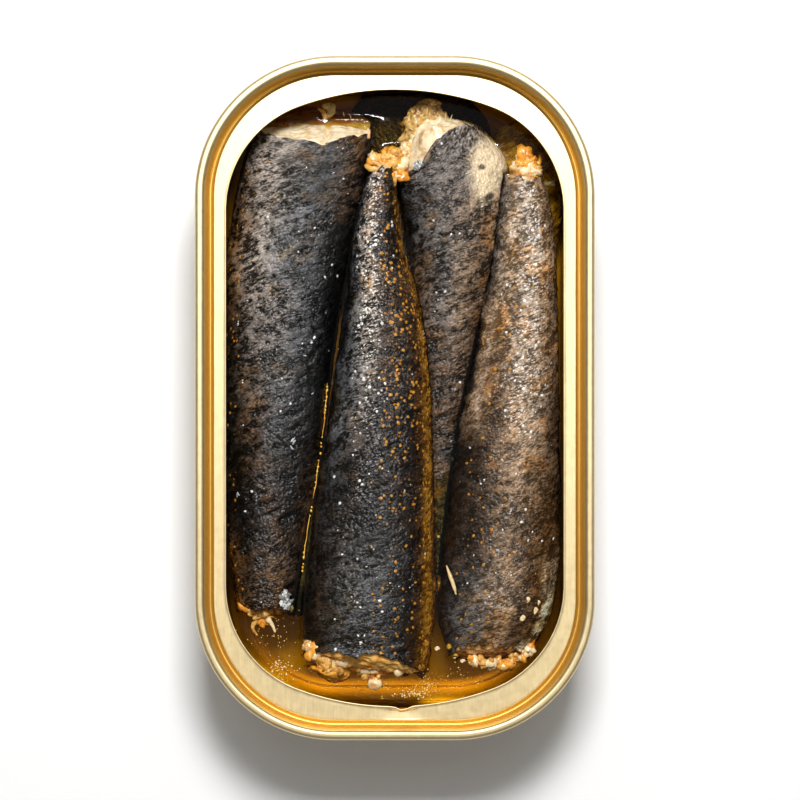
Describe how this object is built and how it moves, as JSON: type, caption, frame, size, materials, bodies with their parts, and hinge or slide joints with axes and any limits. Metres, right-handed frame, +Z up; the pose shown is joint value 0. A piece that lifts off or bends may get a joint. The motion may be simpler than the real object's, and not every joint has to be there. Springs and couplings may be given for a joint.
{
  "type": "sardine tin",
  "caption": "Opened oblong sardine tin: drawn tray with a double-seamed ring left round the opening, filled with headless sardines packed head to tail in oil.",
  "frame": {"origin": "middle of the flat the tin stands on, under the centre of its outline", "axes": "+Z up out of the opening, +Y along the tin's length towards the end where sardines 1 and 3 have their thick ends, +X across the tin to the right as seen from above with +Y away"},
  "size_m": [0.0614, 0.105, 0.025],
  "materials": {
    "tin": "gold lacquered tinplate, satin, with a fine rolling grain",
    "skin": "dark oily fish skin, blue-grey to brown with bright scales",
    "flesh": "cooked flaky flesh, cream to orange, wet with oil",
    "oil": "clear amber cooking oil"
  },
  "bodies": {
    "root": {"can_body": "tin", "lid_ring": "tin", "sardine_1": "skin", "sardine_2": "skin", "sardine_3": "skin", "sardine_4": "skin", "flesh_flap": "flesh", "flesh_lump": "flesh", "oil": "oil"}
  },
  "joints": []
}
